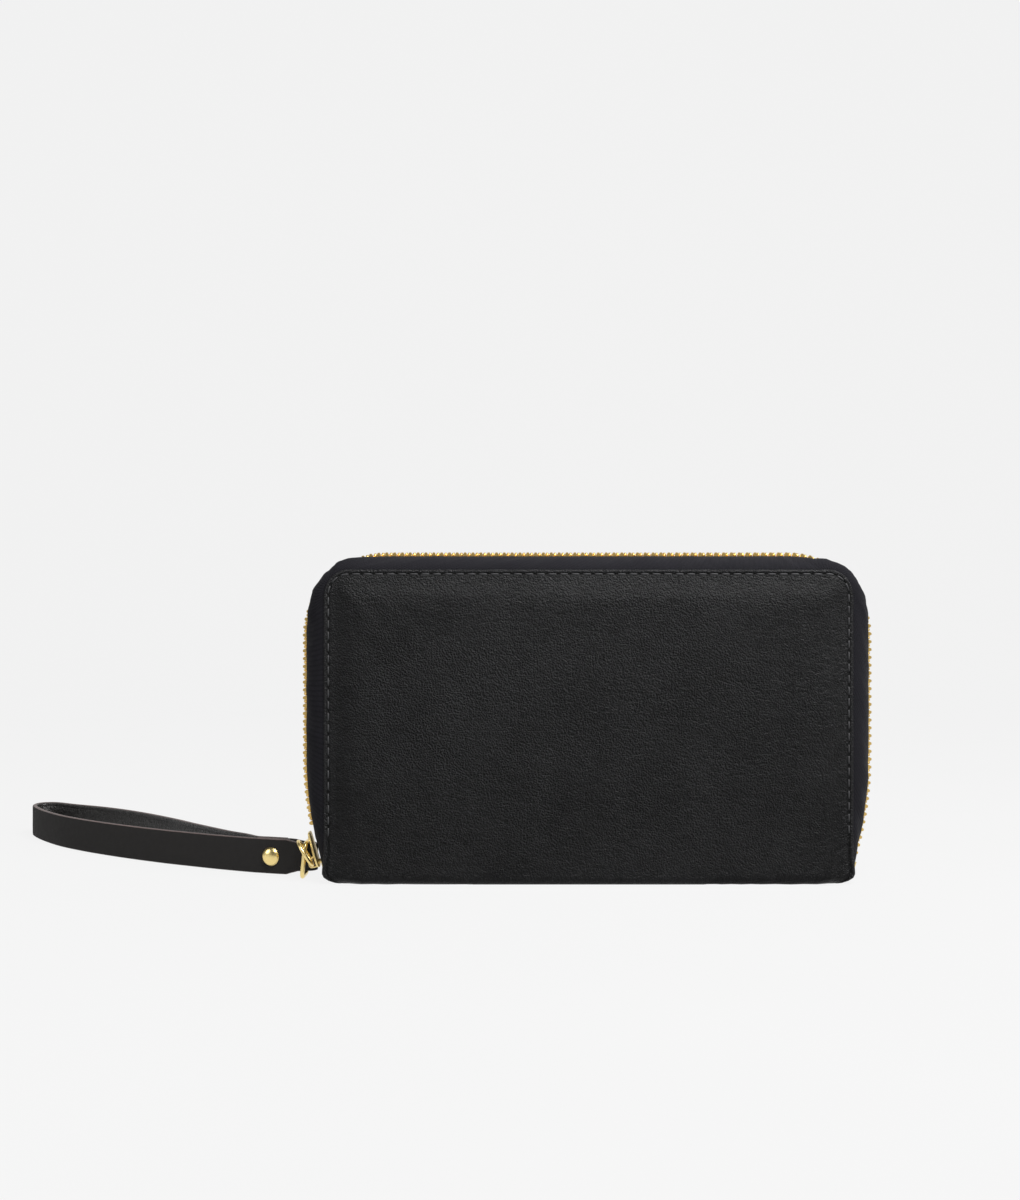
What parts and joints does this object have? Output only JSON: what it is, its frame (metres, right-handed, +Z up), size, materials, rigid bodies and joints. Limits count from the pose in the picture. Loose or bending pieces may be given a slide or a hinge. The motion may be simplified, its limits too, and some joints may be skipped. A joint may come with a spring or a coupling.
{
  "type": "wristlet wallet",
  "caption": "Zip-around leather wristlet wallet, standing closed on its spine, with card slots, a zipped coin pocket and a riveted wrist strap on a D-ring.",
  "frame": {"origin": "middle of the spine leather's underside, on the surface the wallet stands on", "axes": "+X to the right along the spine, seen from the front cover; +Y from the front cover to the back cover; +Z up from the spine to the top of the zip"},
  "size_m": [0.3278, 0.1293, 0.115],
  "materials": {
    "black_leather": "full grain, satin",
    "strap_leather": "smooth, burnished edges",
    "lining_leather": "thin, matt",
    "lining_cloth": "plain weave",
    "zip_tape": "ribbed weave",
    "gold_brass": "polished, gold plated",
    "foam": "felted padding",
    "fibre_board": "pressed fibre"
  },
  "bodies": {
    "spine": {"spine_leather": "black_leather", "spine_board": "fibre_board", "spine_lining": "lining_cloth", "coin_pocket_front": "lining_leather", "coin_pocket_back": "lining_leather", "coin_zip_tape_front": "zip_tape", "coin_zip_tape_back": "zip_tape", "coin_zip_teeth": "gold_brass", "coin_zip_stop_left": "gold_brass", "coin_zip_stop_right": "gold_brass", "gusset_front_left": "lining_cloth", "gusset_front_right": "lining_cloth", "gusset_back_left": "lining_cloth", "gusset_back_right": "lining_cloth"},
    "front_cover": {"front_leather": "black_leather", "front_foam": "foam", "front_board": "fibre_board", "front_lining": "lining_cloth", "front_slip_pocket": "lining_leather", "front_zip_tape": "zip_tape", "front_zip_teeth": "gold_brass", "zip_bottom_stop_front": "gold_brass"},
    "back_cover": {"back_leather": "black_leather", "back_foam": "foam", "back_board": "fibre_board", "back_lining": "lining_cloth", "card_slot_left_1": "lining_leather", "card_slot_left_2": "lining_leather", "card_slot_left_3": "lining_leather", "card_slot_right_1": "lining_leather", "card_slot_right_2": "lining_leather", "card_slot_right_3": "lining_leather", "back_zip_tape": "zip_tape", "back_zip_teeth": "gold_brass", "zip_top_stop": "gold_brass", "zip_bottom_stop_back": "gold_brass"},
    "slider": {"slider_body": "gold_brass"},
    "jump_ring": {"jump_ring": "gold_brass"},
    "d_ring": {"d_ring": "gold_brass"},
    "strap": {"wrist_strap": "strap_leather", "rivet_cap": "gold_brass", "rivet_base": "gold_brass"},
    "coin_slider": {"coin_slider_body": "gold_brass"},
    "coin_pull": {"coin_pull": "gold_brass"}
  },
  "joints": [
    {"name": "front_cover_open", "type": "hinge", "parent": "spine", "child": "front_cover", "pos_m": [0, -0.0124, 0.0014], "axis": [1, 0, 0], "range_deg": [0, 45]},
    {"name": "back_cover_open", "type": "hinge", "parent": "spine", "child": "back_cover", "pos_m": [0, 0.0124, 0.0014], "axis": [-1, 0, 0], "range_deg": [0, 45]},
    {"name": "slider_travel", "type": "hinge", "parent": "back_cover", "child": "slider", "pos_m": [0.0211, 0, 0.043], "axis": [0, 1, 0], "range_deg": [0, 4.5]},
    {"name": "jump_ring_swing", "type": "hinge", "parent": "slider", "child": "jump_ring", "pos_m": [-0.09708, 0, 0.00545], "axis": [0, 1, 0], "range_deg": [-40, 4]},
    {"name": "d_ring_swing", "type": "hinge", "parent": "jump_ring", "child": "d_ring", "pos_m": [-0.09975, -0.00229, 0.0068], "axis": [0, 0, 1], "range_deg": [-2, 15]},
    {"name": "strap_swing", "type": "hinge", "parent": "d_ring", "child": "strap", "pos_m": [-0.09946, 0.00721, 0.0068], "axis": [0, 0, 1], "range_deg": [-50, 50]},
    {"name": "coin_slider_travel", "type": "slide", "parent": "spine", "child": "coin_slider", "axis": [1, 0, 0], "range_m": [0, 0.117]},
    {"name": "coin_pull_swing", "type": "hinge", "parent": "coin_slider", "child": "coin_pull", "pos_m": [-0.05915, -0.0006, 0.0958], "axis": [0, 1, 0], "range_deg": [-175, 0]}
  ]
}
